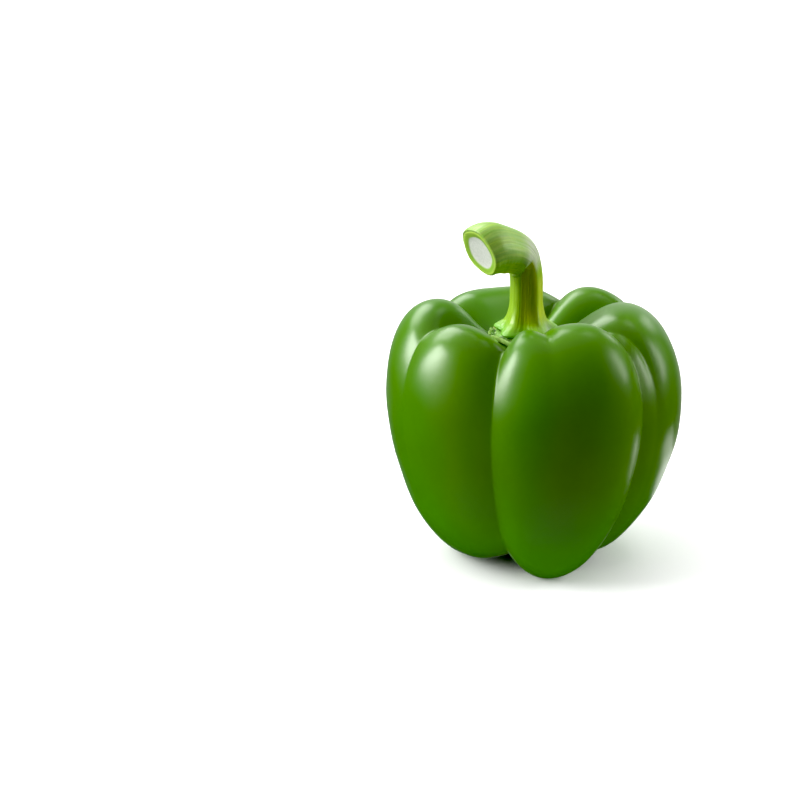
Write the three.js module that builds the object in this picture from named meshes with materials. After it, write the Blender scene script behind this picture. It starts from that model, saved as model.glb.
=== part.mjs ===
// A green bell pepper as it stands on its feet: the lobed fruit, the calyx in the hollow on top,
// and the stem, bent over and cut off.
//
// Millimetres, +Z up. The origin lies on the surface that the pepper stands on, under the middle
// of its outline. The front faces -Y. Azimuths are in degrees, anticlockwise from +X seen from above.

import * as THREE from "three";

// Driving dimensions of the fruit

// Half the width across the lobes.
const REACH = 44;
// Where the fruit's axis stands, and how far the hollow's middle lies from it.
const FRUIT_AXIS = new THREE.Vector2(0.6, 0.3);
const STEM_OFFSET = new THREE.Vector2(-3.6, 0);

// Rings from the blossom end underneath, out under the feet, up the side, over the crest and down
// into the hollow at the stem. A groove moves a ring's point by its depth times out and up. The
// last four numbers say how much of a lobe's crest, taper and foot and of STEM_OFFSET it takes.
const RINGS = [
  // share of REACH, height, groove out, groove up, crest, taper, offset, foot
  [0.0, 7.5, 0.0, 0.0, 0.0, 1.0, 0.0, 0.0],
  [0.15, 6.0, 0.0, 0.3, 0.0, 1.0, 0.0, 0.3],
  [0.32, -1.5, -0.1, 0.9, 0.0, 1.0, 0.0, 1.0],
  [0.5, -4.5, -0.3, 1.0, 0.0, 1.0, 0.0, 1.0],
  [0.69, 0.5, -0.8, 0.6, 0.0, 0.7, 0.0, 0.7],
  [0.86, 12.5, -1.0, 0.15, 0.0, 0.35, 0.0, 0.2],
  [0.965, 29.0, -1.0, 0.0, 0.1, 0.1, 0.0, 0.0],
  [1.02, 46.0, -1.0, 0.0, 0.3, 0.0, 0.0, 0.0],
  [1.0, 62.0, -1.0, -0.1, 0.7, 0.0, 0.0, 0.0],
  [0.86, 74.5, -0.7, -0.7, 1.0, 0.0, 0.1, 0.0],
  [0.61, 78.5, -0.1, -1.0, 1.0, 0.0, 0.3, 0.0],
  [0.41, 74.0, 0.4, -1.0, 1.0, 0.0, 0.6, 0.0],
  [0.27, 68.0, 0.4, -0.4, 0.4, 0.0, 1.0, 0.0],
  [0.12, 66.5, 0.0, 0.0, 0.0, 0.0, 1.0, 0.0],
  [0.0, 66.5, 0.0, 0.0, 0.0, 0.0, 1.0, 0.0],
].map(([share, height, out, up, crest, taper, offset, foot]) => ({
  share,
  height,
  out,
  up,
  crest,
  taper,
  offset,
  foot,
}));
const LAST_RING = RINGS.length - 1;

// How each lobe differs: its reach, how much its crest stands higher, how far its foot draws in,
// the share of its radius that the crest keeps, and how much its foot is lifted.
const LOBES = [
  { azimuth: -134, reach: 0.99, crest: 0.6, taper: 0.85, shoulder: 1.02, foot: 0.9 },
  { azimuth: -99, reach: 1.0, crest: 1.7, taper: 0.96, shoulder: 0.95, foot: 0.3 },
  { azimuth: -62, reach: 1.0, crest: 2.4, taper: 0.96, shoulder: 0.98, foot: 0.3 },
  { azimuth: 0, reach: 1.01, crest: 0.8, taper: 0.75, shoulder: 0.955, foot: 4.0 },
  { azimuth: 53, reach: 1.0, crest: 1.2, taper: 0.8, shoulder: 1.05, foot: -0.3 },
  { azimuth: 107, reach: 0.98, crest: -1.5, taper: 0.85, shoulder: 1.05, foot: -0.2 },
  { azimuth: 175, reach: 1.02, crest: 2.2, taper: 0.88, shoulder: 1.03, foot: 0.9 },
];

// Grooves between the lobes and dips in their crests. Each has its azimuth and depth at the rings
// of GROOVE_RINGS, and its width in degrees to the right and to the left, times GROOVE_SPREAD.
// The mesh has a row of edges along each seam.
const GROOVE_RINGS = [0, 3, 5, 7, 9, 10.5, 12, 14];
const GROOVE_SPREAD = [1.6, 1.6, 1.4, 1.2, 1.0, 0.68, 0.8, 0.8];
const GROOVES = [
  {
    // Between the left and the front lobe.
    azimuth: [-112, -112, -111, -112, -113, -112, -111, -110],
    depth: [1, 10, 6, 4.2, 8, 8, 4, 0],
    width: [18, 10],
    seam: true,
  },
  {
    // The dip in the front lobe's crest.
    azimuth: [-86, -86, -86, -86, -86, -86, -86, -86],
    depth: [0, 0, 0, 0, 0.5, 3.5, 1.5, 0],
    width: [9, 9],
  },
  {
    // Between the front and the right lobe.
    azimuth: [-52, -52, -45, -43, -39, -41, -45, -46],
    depth: [1, 9, 6, 4, 6.5, 8.5, 4, 0],
    width: [10, 18],
    seam: true,
  },
  {
    // The fine fold beside it, on the right lobe's shoulder.
    azimuth: [-33, -33, -33, -33, -31, -33, -34, -34],
    depth: [0, 0, 0, 0.3, 1.4, 0.4, 0, 0],
    width: [4, 4],
  },
  {
    // The crease in the right lobe's crest.
    azimuth: [32, 32, 32, 32, 32, 32, 32, 32],
    depth: [0, 1, 1, 1, 4, 8.5, 5, 0],
    width: [14, 14],
    seam: true,
  },
  {
    // Between the right and the back lobe.
    azimuth: [73, 73, 73, 73, 73, 73, 73, 73],
    depth: [1, 9, 5.5, 3.5, 6, 9, 6, 0],
    width: [14, 14],
    seam: true,
  },
  {
    // Between the back and the left lobe.
    azimuth: [142, 142, 142, 142, 145, 147, 147, 147],
    depth: [1, 9, 5.5, 3.5, 6, 8.5, 5, 0],
    width: [14, 14],
    seam: true,
  },
  {
    // The crease in the left lobe's crest.
    azimuth: [205, 205, 205, 203, 199, 195, 190, 187],
    depth: [0, 1, 0.5, 0.4, 4, 7.5, 5, 0],
    width: [14, 14],
    seam: true,
  },
];
// The power in the grooves' section: 1 is a sharp crease, 2 a round-bottomed one.
const GROOVE_SHARPNESS = 1.2;

// Facets of the fruit: degrees to a column, and rows from the blossom end to the stem end.
const DEGREES_PER_COLUMN = 3.8;
const FRUIT_ROWS = 34;
// How strongly the columns gather at the seams, from 0 to 1.
const SEAM_GATHER = 0.45;

// Driving dimensions of the calyx

// The space between two pieces that touch on the real thing.
const GAP = 0.35;
const CALYX_RADIUS = 12.6;
const CALYX_CORNERS = 6;
const CALYX_FIRST_CORNER = 200;
// How round the sides between the corners are, from 0, straight, to 1, an arc.
const CALYX_ROUNDNESS = 0.15;
const CALYX_RIM_HEIGHT = 1.6;
const CALYX_RIM_WIDTH = 0.9;
// The rim's section: shares of the radius and of the rim's height, from the underside to the top.
const CALYX_RIM = [
  [0.985, 0.03],
  [1.0, 0.5],
  [0.995, 0.95],
  [0.97, 1.0],
];
const CALYX_UNDERSIDE = [0.25, 0.5, 0.75, 0.9];
// The rough ring inside the rim, and its facets as shares of the way from the rim to the seat.
const CALYX_RING_HEIGHT = 1.0;
const CALYX_RING = [0, 0.3, 0.6, 0.85];
// The seat in the middle, which the stem grows from.
const CALYX_SEAT_RADIUS = 10.2;
const CALYX_SEAT_HEIGHT = 69.7;
const CALYX_SEAT = [0.98, 0.5];
// Warts: their height, how many go round in two crossing waves, and how they wind across.
const WART_HEIGHT = 0.45;
const WARTS_AROUND = [12, 7];
const WARTS_ACROSS = 300;
const WARTS_TWIST = 5;

// Driving dimensions of the stem

const STEM_AXIS = new THREE.Vector2(-2.8, 0.3);
// The azimuth that it bends over to.
const STEM_LEAN = 215;
const STEM_RIDGES = 5;
const STEM_RIDGE_AT = 156;
// The ridges' height as a share of the radius, on the stem and on its flared foot.
const STEM_RIDGE = 0.05;
const FLARE_RIDGE = 0.15;
const STEM_SIDES = 30;
const STEM_FOOT = [0, 0.55];
// The cut: the rind's width, its rounded edge, and how far the pith has sunk.
const CUT_RIND = 1.6;
const CUT_EDGE = 0.4;
const CUT_SINK = 0.5;

// Stations up the stem: how far it has bent over, its middle along the lean and in height, and its
// half thickness along the lean and across it.
const STEM_STATIONS = [
  // bend, along, height, half thickness, half width, ridge
  [0, 0.0, 70.05, 8.4, 8.5, FLARE_RIDGE],
  [0, 0.0, 70.7, 8.7, 8.8, FLARE_RIDGE],
  [0, 0.0, 71.7, 7.6, 7.7, FLARE_RIDGE],
  [0, 0.0, 73.2, 6.1, 6.2, 0.09],
  [0, 0.0, 75.3, 5.3, 5.4, 0.07],
  [0, 0.0, 78.2, 4.85, 4.9, STEM_RIDGE],
  [1, 0.0, 81.5, 4.75, 4.8, STEM_RIDGE],
  [4, 0.05, 85.0, 4.75, 4.8, STEM_RIDGE],
  [12, 0.3, 87.4, 4.75, 4.85, STEM_RIDGE],
  [26, 0.7, 89.5, 4.8, 5.0, STEM_RIDGE],
  [42, 1.35, 91.6, 5.05, 5.2, STEM_RIDGE],
  [58, 2.6, 93.4, 5.5, 5.6, STEM_RIDGE],
  [74, 4.75, 94.95, 6.15, 6.1, 0.045],
  [88, 7.7, 96.2, 6.85, 6.7, 0.04],
  [98, 11.0, 97.0, 7.45, 7.3, 0.035],
  [105, 14.2, 97.3, 7.6, 7.6, 0.03],
  [109, 16.9, 96.8, 7.5, 7.5, 0.025],
  [110, 17.5, 96.6, 7.2, 7.2, 0.02],
].map(([bend, along, height, thick, wide, ridge]) => ({ bend, along, height, thick, wide, ridge }));

// Small helpers

const radians = THREE.MathUtils.degToRad;
const { euclideanModulo, lerp, radToDeg, smoothstep } = THREE.MathUtils;

// The signed angle from one azimuth to another, from -180 to 180 degrees.
function turn(from, to) {
  return euclideanModulo(to - from + 180, 360) - 180;
}

// Reads a list of values placed at the stations of a second list.
function readAt(stations, values, at) {
  const next = Math.max(1, stations.findIndex((station) => station >= at));
  const share = (at - stations[next - 1]) / (stations[next] - stations[next - 1]);
  return lerp(values[next - 1], values[next], share);
}

// A closed body from rings of points: the first and last ring are single points.
function closedBody(rings) {
  const positions = [];
  const firstOfRing = [];
  for (const ring of rings) {
    firstOfRing.push(positions.length / 3);
    ring.forEach((point) => positions.push(point.x, point.y, point.z));
  }
  const triangles = [];
  for (let r = 0; r + 1 < rings.length; r += 1) {
    const lower = rings[r].length;
    const upper = rings[r + 1].length;
    const count = Math.max(lower, upper);
    for (let c = 0; c < count; c += 1) {
      const a = firstOfRing[r] + (c % lower);
      const b = firstOfRing[r] + ((c + 1) % lower);
      const d = firstOfRing[r + 1] + (c % upper);
      const e = firstOfRing[r + 1] + ((c + 1) % upper);
      if (lower > 1) triangles.push(a, b, e);
      if (upper > 1) triangles.push(a, e, d);
    }
  }
  const geometry = new THREE.BufferGeometry();
  geometry.setAttribute("position", new THREE.Float32BufferAttribute(positions, 3));
  geometry.setIndex(triangles);
  geometry.computeVertexNormals();
  return geometry;
}

// The fruit's skin

// A property of the lobes at an azimuth, eased from one lobe's middle to the next.
function lobeValue(azimuth, property) {
  for (let i = 0; i < LOBES.length; i += 1) {
    const here = LOBES[i];
    const next = LOBES[(i + 1) % LOBES.length];
    const span = euclideanModulo(next.azimuth - here.azimuth, 360);
    const past = euclideanModulo(azimuth - here.azimuth, 360);
    if (past <= span) return lerp(here[property], next[property], smoothstep(past / span, 0, 1));
  }
  return LOBES[0][property];
}

// The control point of a ring at an azimuth, as a point in the frame.
function controlPoint(index, azimuth) {
  const ring = RINGS[index];
  const shoulder = 1 + (lobeValue(azimuth, "shoulder") - 1) * ring.crest ** 2;
  const taper = 1 + (lobeValue(azimuth, "taper") - 1) * ring.taper;
  let radius = ring.share * REACH * lobeValue(azimuth, "reach") * shoulder * taper;
  let height = ring.height + ring.crest * lobeValue(azimuth, "crest");
  height += ring.foot * lobeValue(azimuth, "foot");
  const spread = readAt(GROOVE_RINGS, GROOVE_SPREAD, index);
  for (const groove of GROOVES) {
    const away = turn(readAt(GROOVE_RINGS, groove.azimuth, index), azimuth);
    const width = groove.width[away < 0 ? 0 : 1] * spread;
    const depth = readAt(GROOVE_RINGS, groove.depth, index);
    const share = depth * Math.exp(-((Math.abs(away) / width) ** GROOVE_SHARPNESS));
    radius += share * ring.out;
    height += share * ring.up;
  }
  return new THREE.Vector3(
    FRUIT_AXIS.x + STEM_OFFSET.x * ring.offset + Math.cos(radians(azimuth)) * radius,
    FRUIT_AXIS.y + STEM_OFFSET.y * ring.offset + Math.sin(radians(azimuth)) * radius,
    height,
  );
}

// The columns of the skin run along the seams, so that a seam is an edge and not a row of teeth.
// A column is its azimuth at every ring.
function skinColumns() {
  const seams = GROOVES.filter((groove) => groove.seam);
  const ringNumbers = RINGS.map((_, index) => index);
  const columns = [];
  seams.forEach((seam, i) => {
    const next = seams[(i + 1) % seams.length];
    const wrap = i + 1 < seams.length ? 0 : 360;
    const middle = Math.floor(LAST_RING / 2);
    const start = readAt(GROOVE_RINGS, seam.azimuth, middle);
    const end = readAt(GROOVE_RINGS, next.azimuth, middle) + wrap;
    const count = 2 * Math.round((end - start) / DEGREES_PER_COLUMN / 2);
    for (let c = 0; c < count; c += 1) {
      const even = c / count;
      const share = even - (SEAM_GATHER * Math.sin(2 * Math.PI * even)) / (2 * Math.PI);
      columns.push(
        ringNumbers.map((index) =>
          lerp(
            readAt(GROOVE_RINGS, seam.azimuth, index),
            readAt(GROOVE_RINGS, next.azimuth, index) + wrap,
            share,
          ),
        ),
      );
    }
  });
  return columns;
}

// The control polygon of a column, with one mirrored point past each pole.
function columnPolygon(column) {
  const points = column.map((azimuth, index) => controlPoint(index, azimuth));
  const mirrored = (pole, neighbour) =>
    new THREE.Vector3(2 * pole.x - neighbour.x, 2 * pole.y - neighbour.y, neighbour.z);
  return [mirrored(points[0], points[1]), ...points, mirrored(points[LAST_RING], points[LAST_RING - 1])];
}

// A point of a uniform cubic B-spline over the polygon, at from 0 to LAST_RING.
function splinePoint(polygon, at) {
  const first = Math.min(Math.floor(at), LAST_RING - 1);
  const t = at - first;
  const weights = [
    (1 - t) ** 3 / 6,
    (3 * t ** 3 - 6 * t ** 2 + 4) / 6,
    (-3 * t ** 3 + 3 * t ** 2 + 3 * t + 1) / 6,
    t ** 3 / 6,
  ];
  const point = new THREE.Vector3();
  weights.forEach((weight, i) => point.addScaledVector(polygon[first + i], weight));
  return point;
}

const polygons = skinColumns().map(columnPolygon);

function makeFruit() {
  const rings = [];
  for (let row = 0; row <= FRUIT_ROWS; row += 1) {
    const at = (row / FRUIT_ROWS) * LAST_RING;
    const ring = polygons.map((polygon) => splinePoint(polygon, at));
    // The feet are pressed flat where they meet the surface that the pepper stands on.
    ring.forEach((point) => point.setZ(Math.max(point.z, 0)));
    rings.push(row === 0 || row === FRUIT_ROWS ? [ring[0]] : ring);
  }
  return new THREE.Mesh(
    closedBody(rings),
    new THREE.MeshStandardMaterial({ color: 0x3c7a10, roughness: 0.28, metalness: 0 }),
  );
}

// The calyx

// The middle of the hollow's floor, which the calyx is drawn around, and the rings that the search
// for a point of the hollow goes back over.
const hollowCentre = splinePoint(polygons[0], LAST_RING);
const HOLLOW_RINGS = 3.5;
const SEARCH_STEPS = 24;

// The point of a column of the hollow that is a given distance from the hollow's middle.
function hollowPoint(polygon, radius) {
  let inner = LAST_RING;
  let outer = LAST_RING - HOLLOW_RINGS;
  for (let step = 0; step < SEARCH_STEPS; step += 1) {
    const middle = (inner + outer) / 2;
    const point = splinePoint(polygon, middle);
    const distance = Math.hypot(point.x - hollowCentre.x, point.y - hollowCentre.y);
    if (distance < radius) inner = middle;
    else outer = middle;
  }
  return splinePoint(polygon, (inner + outer) / 2);
}

// The outline is a polygon with slightly rounded sides.
function calyxRadius(azimuth) {
  const sector = 360 / CALYX_CORNERS;
  const pastCorner = euclideanModulo(azimuth - CALYX_FIRST_CORNER, sector);
  const straight = Math.cos(radians(sector / 2)) / Math.cos(radians(pastCorner - sector / 2));
  return CALYX_RADIUS * lerp(straight, 1, CALYX_ROUNDNESS);
}

// Warts cover the ring between the rim and the seat, and fade out at both.
function wartHeight(azimuth, share) {
  const around = WARTS_AROUND.map((count) => Math.cos(radians(count * azimuth)));
  const across = Math.cos(radians(WARTS_ACROSS * share + WARTS_TWIST * azimuth));
  return WART_HEIGHT * (0.5 + 0.5 * around[0] * around[1] * across) * Math.sin(Math.PI * share);
}

function makeCalyx() {
  // Every second column of the skin carries one of the calyx, so that their facets lie alike.
  const columns = polygons
    .filter((_, index) => index % 2 === 0)
    .map((polygon) => {
      const point = hollowPoint(polygon, CALYX_RADIUS);
      const azimuth = radToDeg(Math.atan2(point.y - hollowCentre.y, point.x - hollowCentre.x));
      return { polygon, azimuth };
    });
  // A ring at a share of the outline's radius, lifted off the hollow by a height.
  const ringAt = (share, heightAt) =>
    columns.map(({ polygon, azimuth }) => {
      const point = hollowPoint(polygon, calyxRadius(azimuth) * share);
      return point.setZ(point.z + GAP + heightAt(azimuth));
    });
  const ringStart = 1 - CALYX_RIM_WIDTH / CALYX_RADIUS;
  const seatShare = CALYX_SEAT_RADIUS / CALYX_RADIUS;
  const pole = (height) => [new THREE.Vector3(hollowCentre.x, hollowCentre.y, height)];
  const rings = [
    pole(hollowCentre.z + GAP),
    ...CALYX_UNDERSIDE.map((share) => ringAt(share, () => 0)),
    ...CALYX_RIM.map(([share, height]) => ringAt(share, () => CALYX_RIM_HEIGHT * height)),
    ...CALYX_RING.map((share) =>
      ringAt(
        lerp(ringStart, seatShare, share),
        (azimuth) => CALYX_RING_HEIGHT + wartHeight(azimuth, share),
      ),
    ),
    ...CALYX_SEAT.map((share) =>
      ringAt(seatShare * share, () => 0).map((point) => point.setZ(CALYX_SEAT_HEIGHT)),
    ),
    pole(CALYX_SEAT_HEIGHT),
  ];
  return new THREE.Mesh(
    closedBody(rings),
    new THREE.MeshStandardMaterial({ color: 0x6f9a3c, roughness: 0.6, metalness: 0 }),
  );
}

// The stem

// A ring round the stem at a station: rounded ridges round an oval, drawn in by a share and sunk
// back along the stem.
function stemRing(station, share = 1, sink = 0) {
  const lean = radians(STEM_LEAN);
  const bend = radians(station.bend);
  const leanwards = new THREE.Vector3(Math.cos(lean), Math.sin(lean), 0);
  const sidewards = new THREE.Vector3(-Math.sin(lean), Math.cos(lean), 0);
  const up = new THREE.Vector3(0, 0, 1);
  const onwards = up.clone().multiplyScalar(Math.cos(bend)).addScaledVector(leanwards, Math.sin(bend));
  const inwards = leanwards.clone().multiplyScalar(Math.cos(bend)).addScaledVector(up, -Math.sin(bend));
  const middle = new THREE.Vector3(STEM_AXIS.x, STEM_AXIS.y, station.height)
    .addScaledVector(leanwards, station.along)
    .addScaledVector(onwards, -sink);
  return Array.from({ length: share === 0 ? 1 : STEM_SIDES }, (_, side) => {
    const around = (360 * side) / STEM_SIDES;
    const wave = Math.cos(radians(STEM_RIDGES * (around + STEM_LEAN - STEM_RIDGE_AT)));
    const size = share * (1 + station.ridge * wave);
    return middle
      .clone()
      .addScaledVector(inwards, Math.cos(radians(around)) * station.thick * size)
      .addScaledVector(sidewards, Math.sin(radians(around)) * station.wide * size);
  });
}

function makeStem() {
  const foot = STEM_STATIONS[0];
  const cut = STEM_STATIONS[STEM_STATIONS.length - 1];
  const edge = 1 - CUT_EDGE / cut.thick;
  const pith = 1 - CUT_RIND / cut.thick;
  const rings = [
    ...STEM_FOOT.map((share) => stemRing(foot, share)),
    ...STEM_STATIONS.map((station) => stemRing(station)),
    stemRing(cut, edge, -CUT_EDGE / 4),
    stemRing(cut, pith, CUT_SINK / 2),
    stemRing(cut, pith / 2, CUT_SINK),
    stemRing(cut, 0, CUT_SINK),
  ];
  return new THREE.Mesh(
    closedBody(rings),
    new THREE.MeshStandardMaterial({ color: 0x8db82a, roughness: 0.45, metalness: 0 }),
  );
}

// The whole pepper

const pepper = new THREE.Group();
for (const [name, make] of Object.entries({ fruit: makeFruit, calyx: makeCalyx, stem: makeStem })) {
  const mesh = make();
  mesh.name = name;
  pepper.add(mesh);
}

export default pepper;
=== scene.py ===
"""A green bell pepper on a pale floor: its skin, calyx and stem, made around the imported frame.

Millimetres in the tables, metres in the scene. Azimuths in degrees, anticlockwise from +X seen from above.
"""

import math

import bpy
import numpy as np
from bpy.props import FloatProperty, FloatVectorProperty, IntProperty, PointerProperty
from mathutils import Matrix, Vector


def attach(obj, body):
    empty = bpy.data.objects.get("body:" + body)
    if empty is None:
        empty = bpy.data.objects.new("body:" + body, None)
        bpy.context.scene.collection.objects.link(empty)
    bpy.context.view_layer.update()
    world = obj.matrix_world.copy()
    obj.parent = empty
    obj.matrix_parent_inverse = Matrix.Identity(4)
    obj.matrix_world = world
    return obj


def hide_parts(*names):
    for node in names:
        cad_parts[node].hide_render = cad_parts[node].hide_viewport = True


bl_info = {
    "name": "Bell Pepper",
    "version": (1, 0, 0),
    "blender": (4, 5, 0),
    "location": "3D View > Sidebar > Bell Pepper",
    "description": "Makes a green bell pepper with its calyx and cut stem, and a pale studio around it",
    "category": "Add Mesh",
}

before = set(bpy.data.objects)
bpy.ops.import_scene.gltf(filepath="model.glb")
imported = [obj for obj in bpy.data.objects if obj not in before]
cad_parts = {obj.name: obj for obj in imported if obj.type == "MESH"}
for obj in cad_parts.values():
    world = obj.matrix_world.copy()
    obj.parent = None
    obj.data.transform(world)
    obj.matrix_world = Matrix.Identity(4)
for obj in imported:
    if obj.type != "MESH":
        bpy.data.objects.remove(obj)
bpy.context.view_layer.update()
MM = 0.001
BODY = "root"

# The fruit's form

# Half the width across the lobes, the middle that they stand round, and how far off the hollow's middle is.
REACH = 44.0
FRUIT_AXIS = (0.6, 0.3)
STEM_OFFSET = (-3.6, 0.0)

# Rings from the blossom end underneath, up the side, over the crest and down into the hollow: share of
# REACH, height, groove out, groove up, and how much of a lobe's crest, taper, STEM_OFFSET and foot it takes.
RINGS = np.array((
    (0, 7.5, 0, 0, 0, 1, 0, 0),
    (0.15, 6, 0, 0.3, 0, 1, 0, 0.3),
    (0.32, -1.5, -0.1, 0.9, 0, 1, 0, 1),
    (0.5, -4.5, -0.3, 1, 0, 1, 0, 1),
    (0.69, 0.5, -0.8, 0.6, 0, 0.7, 0, 0.7),
    (0.86, 12.5, -1, 0.15, 0, 0.35, 0, 0.2),
    (0.965, 29, -1, 0, 0.1, 0.1, 0, 0),
    (1.02, 46, -1, 0, 0.3, 0, 0, 0),
    (1, 62, -1, -0.1, 0.7, 0, 0, 0),
    (0.86, 74.5, -0.7, -0.7, 1, 0, 0.1, 0),
    (0.61, 78.5, -0.1, -1, 1, 0, 0.3, 0),
    (0.41, 74, 0.4, -1, 1, 0, 0.6, 0),
    (0.27, 68, 0.4, -0.4, 0.4, 0, 1, 0),
    (0.12, 66.5, 0, 0, 0, 0, 1, 0),
    (0, 66.5, 0, 0, 0, 0, 1, 0),
))
LAST_RING = len(RINGS) - 1

# How each lobe differs: azimuth, reach, crest, taper, shoulder and foot.
LOBES = np.array((
    (-134, 0.99, 0.6, 0.85, 1.02, 0.9),
    (-99, 1, 1.7, 0.96, 0.95, 0.3),
    (-62, 1, 2.4, 0.96, 0.98, 0.3),
    (0, 1.01, 0.8, 0.75, 0.955, 4),
    (53, 1, 1.2, 0.8, 1.05, -0.3),
    (107, 0.98, -1.5, 0.85, 1.05, -0.2),
    (175, 1.02, 2.2, 0.88, 1.03, 0.9),
))

# Grooves between the lobes and dips in their crests: azimuths and depths at the rings of GROOVE_RINGS, width
# in degrees to the right and to the left, times GROOVE_SPREAD, and whether columns of faces run along them.
GROOVE_RINGS = (0, 3, 5, 7, 9, 10.5, 12, 14)
GROOVE_SPREAD = (1.6, 1.6, 1.4, 1.2, 1.0, 0.68, 0.8, 0.8)
GROOVE_SHARPNESS = 1.2
GROOVES = (
    # Between the left and the front lobe.
    ((-112, -112, -111, -112, -113, -112, -111, -110), (1, 10, 6, 4.2, 8, 8, 4, 0), (18, 10), True),
    # The dip in the front lobe's crest.
    ((-86,) * 8, (0, 0, 0, 0, 0.5, 3.5, 1.5, 0), (9, 9), False),
    # Between the front and the right lobe.
    ((-52, -52, -45, -43, -39, -41, -45, -46), (1, 9, 6, 4, 6.5, 8.5, 4, 0), (10, 18), True),
    # The fine fold beside it, on the right lobe's shoulder.
    ((-33, -33, -33, -33, -31, -33, -34, -34), (0, 0, 0, 0.3, 1.4, 0.4, 0, 0), (4, 4), False),
    # The crease in the right lobe's crest.
    ((32,) * 8, (0, 1, 1, 1, 4, 8.5, 5, 0), (14, 14), True),
    # Between the right and the back lobe.
    ((73,) * 8, (1, 9, 5.5, 3.5, 6, 9, 6, 0), (14, 14), True),
    # Between the back and the left lobe.
    ((142, 142, 142, 142, 145, 147, 147, 147), (1, 9, 5.5, 3.5, 6, 8.5, 5, 0), (14, 14), True),
    # The crease in the left lobe's crest.
    ((205, 205, 205, 203, 199, 195, 190, 187), (0, 1, 0.5, 0.4, 4, 7.5, 5, 0), (14, 14), True),
)
# How strongly the columns of faces gather at the seams.
SEAM_GATHER = 0.45
# The skin's slow swells: how fast each wave turns along x, y and z, in radians to the millimetre, and where
# it starts; then how far they move the skin.
SKIN_WAVES = (
    (0.31, 0.12, 0.16, 0.4),
    (-0.14, 0.33, 0.21, 2.1),
    (0.22, -0.27, 0.3, 4),
    (-0.35, -0.2, 0.11, 5.3),
    (0.1, 0.16, -0.42, 1.2),
)
SWELL = 0.2
# The height above the floor from which the swells are whole, and the ring by which they have faded.
SWELL_FADE = 8.0
SWELL_LAST_RING = 11.5
# The least length that a normal is divided by, because the poles have none.
SHORTEST_NORMAL = 1e-9
# The groove depth, in millimetres, that counts as the bottom of a groove for the painted shade in the grooves.
DEEP_GROOVE = 7.0

# The calyx's form

# How far it lies off the fruit.
GAP = 0.35
# Its outline: a polygon whose sides are drawn out towards its circle by CALYX_ROUNDNESS.
CALYX_RADIUS = 12.6
CALYX_CORNERS = 6
CALYX_FIRST_CORNER = 200.0
CALYX_ROUNDNESS = 0.15
# What makes it uneven: waves round it, their depth as a share of the radius, and where they start.
CALYX_WAVES = ((2, 0.03, 40), (5, 0.035, 110), (13, 0.02, 15), (29, 0.012, 70))
CALYX_DEGREES_PER_COLUMN = 1.5
CALYX_RIM_WIDTH = 0.9
CALYX_RIM_HEIGHT = 1.6
CALYX_RING_HEIGHT = 1.0
CALYX_SEAT_RADIUS = 10.2
CALYX_SEAT_HEIGHT = 69.7
# The shares of the radius of the rings underneath, and of the seat's radius on top of it.
CALYX_UNDER = np.linspace(0.15, 0.95, 9)
CALYX_SEAT = (0.99, 0.9, 0.6, 0.3)
# The rim's section: share of the radius, share of the rim's height.
CALYX_RIM = (
    (0.985, 0.03),
    (0.996, 0.25),
    (1, 0.55),
    (1, 0.85),
    (0.992, 0.97),
    (0.98, 1),
    (0.965, 0.97),
)
# The rough ring's rows, from the rim inwards, and how they lose the rim's height and colour.
CALYX_RING = np.linspace(0, 1, 14)[:-1]
RIM_LIFT = 0.5
RIM_LIFT_FADE = 4
RIM_COLOUR_FADE = 6
# How far from a corner, in degrees, its dry tip reaches.
TIP_WIDTH = 3.0
WART_SEGMENTS = 8
WART_RINGS = 5
# How many rings out from the hollow's middle its points are looked for, and in how many halvings.
HOLLOW_RINGS = 3.5
SEARCH_STEPS = 24

# The stem's form

STEM_AXIS = (-2.8, 0.3)
STEM_LEAN = 215.0
STEM_RIDGES = 5
STEM_RIDGE_AT = 156.0
# Stations up the stem: bend, middle along the lean, height, half thickness along the lean, half width, ridge.
STEM_STATIONS = np.array((
    (0, 0, 70.05, 8.4, 8.5, 0.15),
    (0, 0, 70.7, 8.7, 8.8, 0.15),
    (0, 0, 71.7, 7.6, 7.7, 0.15),
    (0, 0, 73.2, 6.1, 6.2, 0.09),
    (0, 0, 75.3, 5.3, 5.4, 0.07),
    (0, 0, 78.2, 4.85, 4.9, 0.05),
    (1, 0, 81.5, 4.75, 4.8, 0.05),
    (4, 0.05, 85, 4.75, 4.8, 0.05),
    (12, 0.3, 87.4, 4.75, 4.85, 0.05),
    (26, 0.7, 89.5, 4.8, 5, 0.05),
    (42, 1.35, 91.6, 5.05, 5.2, 0.05),
    (58, 2.6, 93.4, 5.5, 5.6, 0.05),
    (74, 4.75, 94.95, 6.15, 6.1, 0.045),
    (88, 7.7, 96.2, 6.85, 6.7, 0.04),
    (98, 11, 97, 7.45, 7.3, 0.035),
    (105, 14.2, 97.3, 7.6, 7.6, 0.03),
    (109, 16.9, 96.8, 7.5, 7.5, 0.025),
    (110, 17.5, 96.6, 7.2, 7.2, 0.02),
))
# The cut: how far in from its edge its bright rim ends and its pith starts, and how deep the pith has sunk.
CUT_EDGE = 0.4
CUT_RIND = 2.0
CUT_SINK = 0.5
# The shares of the foot's radius of the rings underneath it.
FOOT_RINGS = (0.0, 0.3, 0.6, 0.85, 0.96)

# The stem's marks

# Where each mark comes in or goes out, and over how much: in degrees of bend, in turns away from the side
# that the stem leans to, or in shares of its length.
BENT_BEND = (15, 30)
HEAD_BEND = (60, 26)
HEAD_AWAY = (0.02, 0.1)
BLOOM_SHEEN_AWAY = (0.14, 0.12)
FOOT_PLACE = (0.04, 0.2)
NECK_PLACE = (0.13, 0.14)
NECK_FADE = 8
CRINKLE_BEND = (10, 30)
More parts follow.
